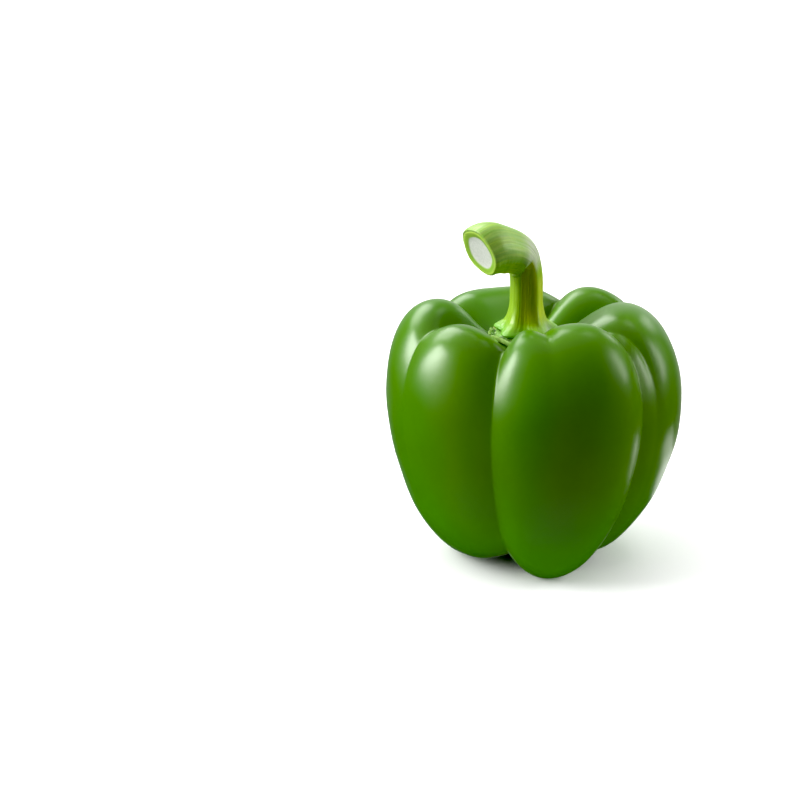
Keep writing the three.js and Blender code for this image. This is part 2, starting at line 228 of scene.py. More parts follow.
# The olive band on the inner side, the yellow line beside it, partly painted light on the neck's shaded side,
# and the fold: the turn of their middle, half their width, and how much of that is soft border.
OLIVE_BAND = (0.17, 0.1, 0.04)
EDGE_BAND = (0.34, 0.1, 0.05)
EDGE_BEND = (14, 12)
FOLD_BAND = (0.05, 0.22, 0.12)
# The bend where the colours end on the inner side, how much further they climb over FOLD_TURNS, and how far
# past them and how thick the fold is.
FOLD_BEND = 34
FOLD_CLIMB = 28
FOLD_TURNS = (0.05, 0.13)
FOLD_LIFT = 6
FOLD_THICKNESS = 7.0
# The slight swell before the cut: its height in folds, and the middle and width of its bend.
SWELL_BEFORE_CUT = 1.4
SWELL_BEND = (103.0, 9.0)
# Painted light under the head: the yellow line's colour laid on its shaded underside, stopping short of the
# cut.
UNDERSIDE_PAINTED_LIGHT = 0.75
UNDERSIDE_PAINTED_LIGHT_AWAY = (0.2, 0.1)
CUT_BEND = (108.0, 8.0)
# A painted highlight on the foot, beside the yellow line, added to the whitish bloom.
FOOT_PAINTED_HIGHLIGHT = 0.7
FOOT_PAINTED_HIGHLIGHT_TURN = (0.33, 0.06)
# The stretch at each end of the stem where its fibres fade out.
SIDE_START = 0.05
SIDE_END = 0.04
# How much of the whitish bloom and painted sheen the head loses, how much of the head's green its inner side
# keeps, and how much of the crinkles the outer side loses.
HEAD_BLOOM_SHEEN_LOSS = 0.8
HEAD_LEAST = 0.25
OUTER_CRINKLE_LOSS = 0.6
# How fine the fibres' wandering and their bare patches are, and how far round they wander, in turns.
WANDER_SCALE = 3.0
WANDER = 0.12
RIB_PATCH_SCALE = 8.0
# The vectors at which the noise is read: how fast they change round the stem and along it.
STEM_GRAINS = {"grain": (1.0, 0.6), "fold": (1.5, 26.0)}


def at_rings(values):
    """The values given at GROOVE_RINGS, read at every ring."""
    return np.interp(np.arange(LAST_RING + 1), GROOVE_RINGS, values)


def smooth_step(share):
    return share * share * (3 - 2 * share)


def rise(value, start, width):
    """0 up to the start, then smoothly up to 1 over the width."""
    return smooth_step(np.clip((value - start) / width, 0, 1))


def fall(value, end, width):
    """1 down to 0 at the end, smoothly over the width before it."""
    return smooth_step(np.clip((end - value) / width, 0, 1))


def band(value, middle, reach, border):
    """1 round the middle, falling to 0 at the reach over a soft border."""
    return fall(np.abs(value - middle), reach, border)


def bump_of(value, middle, width):
    """1 at the middle, falling smoothly to 0 on both sides."""
    return np.exp(-(((value - middle) / width) ** 2))


def lobe_values(azimuth):
    """The columns of LOBES at each azimuth, eased from one lobe's middle to the next."""
    first = LOBES[:, 0]
    spans = np.mod(np.roll(first, -1) - first, 360)
    past = np.mod(azimuth[..., None] - first, 360)
    here = np.argmax(past <= spans, axis=-1)
    share = np.take_along_axis(past, here[..., None], -1)[..., 0] / spans[here]
    values = LOBES[:, 1:]
    following = values[(here + 1) % len(values)]
    return np.moveaxis(values[here] + (following - values[here]) * smooth_step(share)[..., None], -1, 0)


def control_points(azimuth, reach):
    """The fruit's control points, for azimuths in an array of columns by rings, and their groove depths."""
    share, height, out, up, crest, taper, offset, foot = RINGS.T
    lobe_reach, lobe_crest, lobe_taper, lobe_shoulder, lobe_foot = lobe_values(azimuth)
    shoulder = 1 + (lobe_shoulder - 1) * crest**2
    radius = share * reach * lobe_reach * shoulder * (1 + (lobe_taper - 1) * taper)
    level = height + crest * lobe_crest + foot * lobe_foot
    spread = at_rings(GROOVE_SPREAD)
    grooved = np.zeros_like(azimuth)
    for azimuths, depths, (right, left), _ in GROOVES:
        away = np.mod(azimuth - at_rings(azimuths) + 180, 360) - 180
        width = np.where(away < 0, right, left) * spread
        cut = at_rings(depths) * np.exp(-((np.abs(away) / width) ** GROOVE_SHARPNESS))
        radius = radius + cut * out
        level = level + cut * up
        grooved += cut
    turned = np.radians(azimuth)
    x = FRUIT_AXIS[0] + STEM_OFFSET[0] * offset + np.cos(turned) * radius
    y = FRUIT_AXIS[1] + STEM_OFFSET[1] * offset + np.sin(turned) * radius
    return np.stack([x, y, level], -1), grooved


def skin_columns(degrees_per_column):
    """The azimuth of each column at every ring. Columns run along the seams and gather there."""
    seams = [at_rings(azimuths) for azimuths, _, _, is_seam in GROOVES if is_seam]
    middle = LAST_RING // 2
    columns = []
    for start, end in zip(seams, seams[1:] + [seams[0] + 360]):
        count = 2 * round((end[middle] - start[middle]) / degrees_per_column / 2)
        even = np.arange(count) / count
        share = even - SEAM_GATHER * np.sin(2 * np.pi * even) / (2 * np.pi)
        columns.append(start + (end - start) * share[:, None])
    return np.concatenate(columns)


def mirrored_ends(points):
    """The control polygons with one mirrored point past each pole."""
    first = points[:, 1].copy()
    last = points[:, -2].copy()
    first[:, :2] = 2 * points[:, 0, :2] - first[:, :2]
    last[:, :2] = 2 * points[:, -1, :2] - last[:, :2]
    return np.concatenate([first[:, None], points, last[:, None]], axis=1)


def spline_weights(at):
    """The weights of a uniform cubic B-spline over all the control points, a row for each place."""
    at = np.atleast_1d(at)
    first = np.minimum(np.floor(at).astype(int), LAST_RING - 1)
    t = at - first
    four = np.stack([(1 - t) ** 3, 3 * t**3 - 6 * t**2 + 4, -3 * t**3 + 3 * t**2 + 3 * t + 1, t**3], -1) / 6
    weights = np.zeros((len(at), LAST_RING + 3))
    for step in range(4):
        weights[np.arange(len(at)), first + step] += four[:, step]
    return weights


class Skin:
    """The fruit's surface: its columns' control polygons, and points on them."""

    def __init__(self, degrees_per_column, reach):
        azimuth = skin_columns(degrees_per_column)
        points, self.grooved = control_points(azimuth, reach)
        self.polygons = mirrored_ends(points)
        self.centre = (spline_weights(LAST_RING) @ self.polygons[0])[0]

    def rings(self, rows):
        """The surface's points as rows by columns, and how deep in a groove each lies."""
        at = np.linspace(0, LAST_RING, rows + 1)
        weights = spline_weights(at)
        points = np.einsum("rk,ckx->rcx", weights, self.polygons)
        points = points + self.swell(points, at)
        points[..., 2] = np.maximum(points[..., 2], 0)
        padded = np.concatenate([self.grooved[:, 1:2], self.grooved, self.grooved[:, -2:-1]], axis=1)
        return points, weights @ padded.T

    def swell(self, points, at):
        """How far slow waves move the points along their normals, fading at the feet and the hollow."""
        along = np.gradient(points, axis=0)
        around = np.roll(points, -1, axis=1) - np.roll(points, 1, axis=1)
        normals = np.cross(around, along)
        normals /= np.maximum(np.linalg.norm(normals, axis=-1, keepdims=True), SHORTEST_NORMAL)
        waves = sum(np.sin(points @ np.array(wave[:3]) + wave[3]) for wave in SKIN_WAVES) / len(SKIN_WAVES)
        waves *= rise(points[..., 2], 0, SWELL_FADE)
        waves *= fall(at, SWELL_LAST_RING, 1)[:, None]
        return normals * (waves * SWELL)[..., None]

    def hollow_points(self, radius):
        """For every column, the point of the hollow that is that far from the hollow's middle."""
        inner = np.full(len(self.polygons), float(LAST_RING))
        outer = np.full(len(self.polygons), LAST_RING - HOLLOW_RINGS)
        for _ in range(SEARCH_STEPS):
            middle = (inner + outer) / 2
            point = np.einsum("ck,ckx->cx", spline_weights(middle), self.polygons)
            near = np.hypot(*(point - self.centre).T[:2]) < radius
            inner = np.where(near, middle, inner)
            outer = np.where(near, outer, middle)
        return np.einsum("ck,ckx->cx", spline_weights((inner + outer) / 2), self.polygons)


def closed_mesh(name, rings, attributes):
    """A closed smooth mesh from rings of points in millimetres, each end drawn together to one point.

    attributes are numbers or vectors for the same rings, by name.
    """
    count = rings.shape[1]
    inner = rings[1:-1]
    points = np.concatenate([rings[0, :1], inner.reshape(-1, 3), rings[-1, :1]]) * MM
    last = len(points) - 1
    ring = np.arange(count)
    following = (ring + 1) % count
    start = 1 + count * np.arange(len(inner))[:, None]
    lower, upper = start[:-1], start[1:]
    quads = np.stack([lower + ring, lower + following, upper + following, upper + ring], -1).reshape(-1, 4)
    bottom = [(0, 1 + b, 1 + a) for a, b in zip(ring, following)]
    top = [(last, start[-1, 0] + a, start[-1, 0] + b) for a, b in zip(ring, following)]
    mesh = bpy.data.meshes.new(name)
    mesh.from_pydata(points.tolist(), [], quads.tolist() + bottom + top)
    mesh.shade_smooth()
    for key, values in attributes.items():
        flat = np.concatenate([values[0, :1], values[1:-1].reshape(-1, *values.shape[2:]), values[-1, :1]])
        kind, field = ("FLOAT_VECTOR", "vector") if values.ndim == 3 else ("FLOAT", "value")
        attribute = mesh.attributes.new(key, kind, "POINT")
        attribute.data.foreach_set(field, flat.astype(np.float32).ravel())
    mesh.validate()
    return mesh


def link(name, mesh):
    piece = bpy.data.objects.new(name, mesh)
    bpy.context.scene.collection.objects.link(piece)
    return piece


def hand_in(piece, node):
    """The piece stands for a CAD node and moves with the fruit's body."""
    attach(piece, BODY)
    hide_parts(node)


class Nodes:
    """Adds nodes to a tree in a line, so that a material reads from top to bottom."""

    def __init__(self, tree):
        self.tree = tree

    def add(self, kind, settings=None, **inputs):
        node = self.tree.nodes.new(kind)
        for key, value in (settings or {}).items():
            setattr(node, key, value)
        self.feed(node, **inputs)
        return node

    def feed(self, node, **inputs):
        """Sets inputs, by name or by number as _0, to values or to other nodes' outputs."""
        for key, value in inputs.items():
            socket = node.inputs[int(key[1:])] if key[0] == "_" else node.inputs[key.replace("_", " ")]
            if isinstance(value, bpy.types.NodeSocket):
                self.tree.links.new(value, socket)
            else:
                socket.default_value = value

    def attribute(self, name):
        return self.add("ShaderNodeAttribute", {"attribute_name": name}).outputs["Fac"]

    def noise(self, vector, scale, detail=2.0, roughness=0.5):
        return self.add(
            "ShaderNodeTexNoise", Vector=vector, Scale=scale, Detail=detail, Roughness=roughness
        ).outputs["Fac"]

    def spread(self, value, low, high, to_low=0.0, to_high=1.0):
        """Maps the value from low..high to to_low..to_high, and keeps it there."""
        return self.add(
            "ShaderNodeMapRange",
            {"interpolation_type": "SMOOTHSTEP"},
            Value=value,
            From_Min=low,
            From_Max=high,
            To_Min=to_low,
            To_Max=to_high,
        ).outputs["Result"]

    def maths(self, operation, a, b):
        return self.add("ShaderNodeMath", {"operation": operation}, _0=a, _1=b).outputs["Value"]

    def times(self, a, b):
        return self.maths("MULTIPLY", a, b)

    def mix(self, share, a, b):
        """Mixes two colours, each three numbers or another node's output."""
        a, b = (part if isinstance(part, bpy.types.NodeSocket) else (*part, 1.0) for part in (a, b))
        return self.add("ShaderNodeMix", {"data_type": "RGBA"}, _0=share, _6=a, _7=b).outputs[2]

    def bump(self, height, distance, strength, **below):
        """A bump, over the one below it if its Normal is given."""
        node = self.add("ShaderNodeBump", Height=height, Distance=distance, Strength=strength, **below)
        return node.outputs["Normal"]


def new_material(name):
    """An empty material, with its principled shader and its object coordinates."""
    material = bpy.data.materials.new(name)
    material.use_nodes = True
    tree = material.node_tree
    tree.nodes.clear()
    nodes = Nodes(tree)
    shader = nodes.add("ShaderNodeBsdfPrincipled")
    output = nodes.add("ShaderNodeOutputMaterial", Surface=shader.outputs["BSDF"])
    output.is_active_output = True
    place = nodes.add("ShaderNodeTexCoord").outputs["Object"]
    return material, nodes, shader, place


# The materials

# The shares of x, y and z that the skin's clouds are read at, which draws them out upwards.
CLOUD_STRETCH = (1.0, 1.0, 0.28)
# How fine each pattern is: those of the stem's grain round and along it, the others in waves to the metre.
CLOUD_SCALE = 34
SATIN_SCALE = 60
DOT_SCALE = 1100
PEEL_SCALE = 900
FLESH_SCALE = 900
WART_SCALE = 2500
RIM_SCALE = 600
CALYX_GRAIN = 1800
STREAK_SCALE = 14
STRAND_SCALE = 9
PATCH_SCALE = 5
FIBRE_SCALE = 30
SPECKLE_SCALE = 1500
GRIT_SCALE = 2200
FLOOR_CLOUDS = 3
# The range of a pattern over which it goes from one colour to the other: narrow is crisp, wide is soft.
CLOUD_RANGE = (0.36, 0.64)
MIDDLE_RANGE = (0.35, 0.65)
SATIN_RANGE = (0.3, 0.7)
DOT_RANGE = (0.12, 0.3)
STRAND_RANGE = (0.44, 0.6)
PATCH_RANGE = (0.3, 0.62)
# The heights, in metres, over which the skin turns paler to the crown, partly its own colour and partly
# painted light on the shoulders, and purer to the feet.
CROWN_SHEEN_HEIGHTS = (0.05, 0.075)
LOW_HEIGHTS = (0.006, 0.042)
# How much of each colour shows at its most, and of the stem's whitish bloom and painted sheen where its
# patches leave the least.
CROWN_SHEEN_SHARE = 0.5
LOW_SHARE = 0.85
SEAM_SHADE_SHARE = 0.45
DOT_SHARE = 0.05
TIP_SHARE = 0.8
STRAND_SHARE = 0.65
PATCH_LEAST = 0.55
SPECKLE_SHARE = 0.35
# The roughness of the skin, of the calyx's flesh and warts, and of the bare stem and where its whitish bloom
# and painted sheen lie, and what its foot has less.
SKIN_ROUGHNESS = (0.28, 0.33)
CALYX_ROUGHNESS = (0.55, 0.35)
STEM_ROUGHNESS = (0.36, 0.55)
FOOT_GLOSS = 0.1
# The floor's roughness, and how much of its colour its faint clouds keep.
FLOOR_ROUGHNESS = 0.9
FLOOR_SHADE = 0.99
# The height and strength of each bump.
PEEL_BUMP = (0.00003, 0.06)
CALYX_BUMP = (0.0003, 0.5)
FIBRE_BUMP = (0.0002, 0.3)
GRIT_BUMP = (0.0001, 0.25)


def make_skin_material(settings):
    material, nodes, shader, place = new_material("waxy_green_skin")
    drawn = nodes.add("ShaderNodeVectorMath", {"operation": "MULTIPLY"}, _0=place, _1=CLOUD_STRETCH)
    clouds = nodes.spread(nodes.noise(drawn.outputs["Vector"], CLOUD_SCALE), *CLOUD_RANGE)
    body = nodes.mix(clouds, settings.skin_green, settings.skin_olive)
    height = nodes.add("ShaderNodeSeparateXYZ", Vector=place).outputs["Z"]
    # Paler towards the top: partly the skin's own crown colour and partly painted light on the shoulders.
    body = nodes.mix(nodes.spread(height, *CROWN_SHEEN_HEIGHTS, 0.0, CROWN_SHEEN_SHARE), body, settings.skin_crown_and_sheen)
    body = nodes.mix(nodes.spread(height, *LOW_HEIGHTS, LOW_SHARE, 0.0), body, settings.skin_low)
    # Painted shade: the skin turns a darker green down in the grooves.
    seam_shade = nodes.times(nodes.attribute("groove"), SEAM_SHADE_SHARE)
    body = nodes.mix(seam_shade, body, settings.skin_seam_shade)
    cells = nodes.add("ShaderNodeTexVoronoi", Vector=place, Scale=DOT_SCALE, Randomness=1.0)
    dots = nodes.spread(cells.outputs["Distance"], *DOT_RANGE, DOT_SHARE, 0.0)
    body = nodes.mix(dots, body, settings.skin_crown_and_sheen)
    satin = nodes.spread(nodes.noise(place, SATIN_SCALE), *SATIN_RANGE, *SKIN_ROUGHNESS)
    peel = nodes.bump(nodes.noise(place, PEEL_SCALE, 1.0), *PEEL_BUMP)
    nodes.feed(shader, Base_Color=body, Roughness=satin, Normal=peel)
    return material


def make_calyx_material(settings):
    material, nodes, shader, place = new_material("rough_calyx")
    rough = nodes.spread(nodes.noise(place, FLESH_SCALE, 4.0, 0.65), *MIDDLE_RANGE)
    flesh = nodes.mix(rough, settings.ring_dark, settings.ring_green)
    wart = nodes.attribute("wart")
    # Whitish warts: partly their own pale colour and partly a painted highlight on their gloss.
    pale = nodes.mix(nodes.noise(place, WART_SCALE), settings.wart_pale_and_sheen, settings.ring_green)
    flesh = nodes.mix(wart, flesh, pale)
    edge = nodes.mix(nodes.noise(place, RIM_SCALE), settings.rim_pale, settings.ring_green)
    flesh = nodes.mix(nodes.attribute("rim"), flesh, edge)
    tip = nodes.times(nodes.attribute("tip"), TIP_SHARE)
    flesh = nodes.mix(tip, flesh, settings.tip_brown)
    satin = nodes.spread(wart, 0.0, 1.0, *CALYX_ROUGHNESS)
    grain = nodes.bump(nodes.noise(place, CALYX_GRAIN, 4.0), *CALYX_BUMP)
    nodes.feed(shader, Base_Color=flesh, Roughness=satin, Normal=grain)
    return material


def make_stem_material(settings):
    material, nodes, shader, place = new_material("striped_stem")
    grain = nodes.add("ShaderNodeAttribute", {"attribute_name": "grain"}).outputs["Vector"]
    streaks = nodes.spread(nodes.noise(grain, STREAK_SCALE, 3.0), *MIDDLE_RANGE)
    body = nodes.mix(streaks, settings.stem_green, settings.stem_bright)
    # The edge mark is the yellow line and the painted light under the head.
    for mark in ("foot", "edge", "olive"):
        body = nodes.mix(nodes.attribute(mark), body, getattr(settings, f"stem_{mark}"))
    strands = nodes.spread(nodes.noise(grain, STRAND_SCALE, 4.0, 0.65), *STRAND_RANGE, STRAND_SHARE, 0.0)
    body = nodes.mix(nodes.times(nodes.attribute("head"), strands), body, settings.stem_head)
    patch = nodes.spread(nodes.noise(grain, PATCH_SCALE, 3.0, 0.6), *PATCH_RANGE, PATCH_LEAST, 1.0)
    # Whitish bloom on the bend, partly painted sheen, with the foot's painted highlight.
    bloom_and_sheen = nodes.times(nodes.attribute("bloom_and_sheen"), patch)
    body = nodes.mix(bloom_and_sheen, body, settings.stem_bloom_and_sheen)
    speckle = nodes.spread(nodes.noise(place, SPECKLE_SCALE), *MIDDLE_RANGE, 0.0, SPECKLE_SHARE)
    pith = nodes.mix(speckle, settings.pith_white, settings.pith_grey)
    rind = nodes.mix(nodes.attribute("rind"), settings.rind_green, settings.rim_yellow)
    face = nodes.mix(nodes.attribute("pith"), rind, pith)
    body = nodes.mix(nodes.attribute("cut"), body, face)
    satin = nodes.spread(bloom_and_sheen, 0.0, 1.0, *STEM_ROUGHNESS)
    satin = nodes.maths("SUBTRACT", satin, nodes.times(nodes.attribute("foot"), FOOT_GLOSS))
    fibres = nodes.bump(nodes.noise(grain, FIBRE_SCALE, 3.0, 0.6), *FIBRE_BUMP)
    grit = nodes.bump(nodes.noise(place, GRIT_SCALE, 3.0), *GRIT_BUMP, Normal=fibres)
    nodes.feed(shader, Base_Color=body, Roughness=satin, Normal=grit)
    return material


def make_floor_material(name, tone, glow, far_glow):
    """A matt surface that glows, but not under the pepper; on the floor that patch without glow is a painted
    shadow.
    """
    material, nodes, shader, place = new_material(name)
    away = nodes.add("ShaderNodeVectorMath", {"operation": "LENGTH"}, Vector=place).outputs["Value"]
    strength = nodes.spread(away, *FADE_REACH, glow, far_glow)
    # No glow round the pepper's middle: on the floor, a painted contact shadow.
    strength = nodes.times(strength, nodes.spread(away, *GLOW_REACH))
    body = nodes.mix(nodes.noise(place, FLOOR_CLOUDS), tone, [FLOOR_SHADE * part for part in tone])
    nodes.feed(shader, Base_Color=body, Roughness=FLOOR_ROUGHNESS, Specular_IOR_Level=0)
    nodes.feed(shader, Emission_Color=WHITE, Emission_Strength=strength)
    return material


class Tree:
    """A geometry nodes tree with named inputs, and the modifier that runs it on a piece."""

    def __init__(self, name):
        self.tree = bpy.data.node_groups.new(name, "GeometryNodeTree")
        for way in ("INPUT", "OUTPUT"):
            self.tree.interface.new_socket("Geometry", in_out=way, socket_type="NodeSocketGeometry")
        self.nodes = Nodes(self.tree)
        self.values = {}
        self.source = self.nodes.add("NodeGroupInput")

    def named_input(self, name, value, kind="NodeSocketFloat"):
        """A named input of the tree, whose value the modifier sets."""
        socket = self.tree.interface.new_socket(name, in_out="INPUT", socket_type=kind)
        self.values[socket.identifier] = value
        return self.source.outputs[name]

    def attribute(self, name, kind="FLOAT"):
        node = self.nodes.add("GeometryNodeInputNamedAttribute", {"data_type": kind}, Name=name)
        return node.outputs["Attribute"]

    def finish(self, geometry):
        """Ends the tree in Realize Instances and Set Material."""
        material = self.named_input("Material", None, "NodeSocketMaterial")
        real = self.nodes.add("GeometryNodeRealizeInstances", Geometry=geometry).outputs["Geometry"]
        painted = self.nodes.add("GeometryNodeSetMaterial", Geometry=real, Material=material)
        self.nodes.add("NodeGroupOutput", Geometry=painted.outputs["Geometry"])

    def run(self, base, name, material):
        """Runs the tree on the base object and returns the result as a plain mesh object."""
        modifier = base.modifiers.new(name, "NODES")
        modifier.node_group = self.tree
        for identifier, value in self.values.items():
            modifier[identifier] = material if value is None else value
        evaluated = base.evaluated_get(bpy.context.evaluated_depsgraph_get())
        mesh = bpy.data.meshes.new_from_object(evaluated)
        base.modifiers.remove(modifier)
        bpy.data.objects.remove(base)
        mesh.name = name
        return link(name, mesh)


def wart_tree(settings):
    """Warts strewn over the rough ring between the calyx's rim and its seat."""
    tree = Tree("calyx_warts")
    nodes = tree.nodes
    density = tree.named_input("Warts per Square Metre", settings.wart_density)
    small = tree.named_input("Smallest Wart", settings.wart_small)
    large = tree.named_input("Largest Wart", settings.wart_large)
    seed = tree.named_input("Seed", settings.wart_seed, "NodeSocketInt")
    strewn = nodes.add(
        "GeometryNodeDistributePointsOnFaces",
        {"distribute_method": "POISSON"},
        Mesh=tree.source.outputs["Geometry"],
        Distance_Min=small,
        Density_Max=density,
        Density_Factor=tree.attribute("ring"),
        Seed=seed,
    )
    ball = nodes.add("GeometryNodeMeshUVSphere", Segments=WART_SEGMENTS, Rings=WART_RINGS, Radius=0.5)
    marked = nodes.add(
        "GeometryNodeStoreNamedAttribute",
        {"data_type": "FLOAT", "domain": "POINT"},
        Geometry=ball.outputs["Mesh"],
        Name="wart",
        Value=1.0,
    )
    size = nodes.add("FunctionNodeRandomValue", {"data_type": "FLOAT"}, Seed=seed, _2=small, _3=large)
    placed = nodes.add(
        "GeometryNodeInstanceOnPoints",
        Points=strewn.outputs["Points"],
        Instance=marked.outputs["Geometry"],
        Rotation=strewn.outputs["Rotation"],
        Scale=size.outputs[1],
    )
    joined = nodes.add("GeometryNodeJoinGeometry")
    for part in (placed.outputs["Instances"], tree.source.outputs["Geometry"]):
        tree.tree.links.new(part, joined.inputs["Geometry"])
    tree.finish(joined.outputs["Geometry"])
    return tree


def fibre_tree(settings):
    """Fibres raised along the stem, and crinkles where it bends."""
    tree = Tree("stem_fibres")
    nodes = tree.nodes
    count = tree.named_input("Fibres Around", float(settings.fibres))
    depth = tree.named_input("Fibre Depth", settings.fibre_depth)
    crinkle = tree.named_input("Crinkle Depth", settings.crinkle_depth)
    fold = tree.named_input("Fold Height", settings.fold_height)
    grain = tree.attribute("grain", "FLOAT_VECTOR")
    wander = nodes.times(nodes.noise(grain, WANDER_SCALE), WANDER)
    swayed = nodes.maths("ADD", tree.attribute("around"), wander)
    turned = nodes.times(swayed, nodes.times(count, 2 * math.pi))
    ridge = nodes.add("ShaderNodeMath", {"operation": "COSINE"}, _0=turned).outputs["Value"]
    rib = nodes.times(nodes.times(ridge, nodes.noise(grain, RIB_PATCH_SCALE, 3.0)), depth)
    folds = nodes.noise(tree.attribute("fold", "FLOAT_VECTOR"), 1.0)
    folded = nodes.times(nodes.maths("SUBTRACT", folds, 0.5), crinkle)
    raised = nodes.maths("ADD", rib, nodes.times(folded, tree.attribute("crinkled")))
    raised = nodes.maths("ADD", raised, nodes.times(tree.attribute("pinch"), fold))
    raised = nodes.times(raised, tree.attribute("side"))
    normal = nodes.add("GeometryNodeInputNormal").outputs["Normal"]
    offset = nodes.add("ShaderNodeVectorMath", {"operation": "SCALE"}, Vector=normal, Scale=raised)
    base = tree.source.outputs["Geometry"]
    moved = nodes.add("GeometryNodeSetPosition", Geometry=base, Offset=offset.outputs["Vector"])
    tree.finish(moved.outputs["Geometry"])
    return tree


def stem_stations(per_station):
    """The stem's stations, eased between the ones in the table."""
    numbers = np.arange(len(STEM_STATIONS))
    fine = np.linspace(0, numbers[-1], numbers[-1] * per_station + 1)
    first = np.minimum(np.floor(fine).astype(int), numbers[-1] - 1)
    t = (fine - first)[:, None]
    before, here, following, after = (
        STEM_STATIONS[np.clip(first + step, 0, numbers[-1])] for step in (-1, 0, 1, 2)
    )
    eased = (
        (2 * t**3 - 3 * t**2 + 1) * here
        + (t**3 - 2 * t**2 + t) * ((following - before) / 2)
        + (3 * t**2 - 2 * t**3) * following
        + (t**3 - t**2) * ((after - here) / 2)
    )
    return fine / numbers[-1], eased


def stem_ring(station, sides, share=1.0, sink=0.0):
    """A ring of rounded ridges round the stem's oval, drawn in by a share and sunk back along the stem."""
    bend, along, height, thick, wide, ridge = station
    lean = math.radians(STEM_LEAN)
    bend = math.radians(bend)
    leanwards = np.array([math.cos(lean), math.sin(lean), 0.0])
    sidewards = np.array([-math.sin(lean), math.cos(lean), 0.0])
    up = np.array([0.0, 0.0, 1.0])
    onwards = up * math.cos(bend) + leanwards * math.sin(bend)
    inwards = leanwards * math.cos(bend) - up * math.sin(bend)
    middle = np.array([*STEM_AXIS, height]) + leanwards * along - onwards * sink
    around = 2 * np.pi * np.arange(sides) / sides
    wave = np.cos(STEM_RIDGES * (around + math.radians(STEM_LEAN - STEM_RIDGE_AT)))
    size = share * (1 + ridge * wave)
    across = (np.cos(around) * thick * size)[:, None] * inwards
    return middle + across + (np.sin(around) * wide * size)[:, None] * sidewards


def colour_property(name, description, default):
    return FloatVectorProperty(name=name, description=description, default=default, subtype="COLOR")


def number_property(name, description, default, unit="NONE"):
    return FloatProperty(name=name, description=description, default=default, unit=unit)


def length_property(name, description, default):
    return number_property(name, description, default, "LENGTH")


def count_property(name, description, default):
    return IntProperty(name=name, description=description, default=default)


class FruitSettings(bpy.types.PropertyGroup):
    reach: length_property("Reach", "Half the width across the lobes", REACH * MM)
    degrees_per_column: number_property("Column Width", "Degrees from one column of faces to the next", 1.0)
    rows: count_property("Rows", "Rows of faces from the blossom end to the stem", 236)
    skin_green: colour_property("Green", "The skin's main green", (0.055, 0.195, 0.0))
    skin_olive: colour_property("Olive", "The yellower green in its clouds", (0.078, 0.2, 0.0))
    # The crown colour is partly painted light on the shoulders; the dots take it too.
    skin_crown_and_sheen: colour_property("Crown", "The paler green of the crown and the dots", (0.07, 0.225, 0.0))
    skin_low: colour_property("Low", "The purer green near the feet", (0.042, 0.22, 0.0))
    # This colour is painted shade in the grooves.
    skin_seam_shade: colour_property("Seam", "The darker green in the seams", (0.058, 0.13, 0.0))


class CalyxSettings(bpy.types.PropertyGroup):
    rim_height: length_property("Rim Height", "How high the thin rim stands", CALYX_RIM_HEIGHT * MM)
    wart_density: number_property("Wart Density", "Warts to the square metre of the rough ring", 4.0e6)
    wart_small: length_property("Smallest Wart", "Width of the smallest wart", 0.0003)
    wart_large: length_property("Largest Wart", "Width of the largest wart", 0.0009)
    wart_seed: count_property("Seed", "Strews the warts another way", 7)
    ring_dark: colour_property("Ring Dark", "The dark gaps in the rough ring", (0.17, 0.36, 0.03))
    ring_green: colour_property("Ring Green", "The rough ring's green", (0.26, 0.56, 0.07))
    # The warts' pale colour is partly a painted highlight.
    wart_pale_and_sheen: colour_property("Wart Pale", "The whitish warts", (0.55, 0.66, 0.4))
    rim_pale: colour_property("Rim", "The pale yellow-green rim", (0.46, 0.62, 0.18))
    tip_brown: colour_property("Tip", "The dry tips of the corners", (0.3, 0.16, 0.05))


class StemSettings(bpy.types.PropertyGroup):
    sides: count_property("Sides", "Faces round the stem", 240)
    steps: count_property("Steps", "Rows of faces from one station to the next", 14)
    fibres: count_property("Fibres", "Raised fibres round the stem", 26)
    fibre_depth: length_property("Fibre Depth", "How high a fibre stands", 0.00007)
    crinkle_depth: length_property("Crinkle Depth", "How deep the crinkles of the bend are", 0.0004)
    fold_height: length_property("Fold Height", "How far the fold stands out inside the bend", 0.0006)
    stem_green: colour_property("Green", "The stem's green", (0.26, 0.46, 0.01))
    stem_bright: colour_property("Bright", "The yellow-green between its fibres", (0.32, 0.54, 0.02))
    stem_olive: colour_property("Olive", "The olive band on the inner side", (0.36, 0.42, 0.0))
    # This colour is also painted light on the head's shaded underside.
    stem_edge: colour_property("Edge", "The yellow line beside the olive band", (0.5, 0.62, 0.03))
    stem_head: colour_property("Head", "The green of the thick end", (0.16, 0.42, 0.01))
    stem_foot: colour_property("Foot", "The green of the flared foot", (0.19, 0.5, 0.04))
    # This colour is partly painted sheen on the bend's top and a painted highlight on the foot.
    stem_bloom_and_sheen: colour_property("Bloom", "The whitish bloom on the outer side", (0.5, 0.56, 0.41))
    rind_green: colour_property("Rind", "The green ring of the cut", (0.3, 0.55, 0.05))
    rim_yellow: colour_property("Rim", "The bright rim of the cut", (0.48, 0.72, 0.1))
    pith_white: colour_property("Pith", "The pith in the cut", (0.78, 0.81, 0.74))
    pith_grey: colour_property("Pith Shade", "The speckles in the pith", (0.56, 0.62, 0.52))


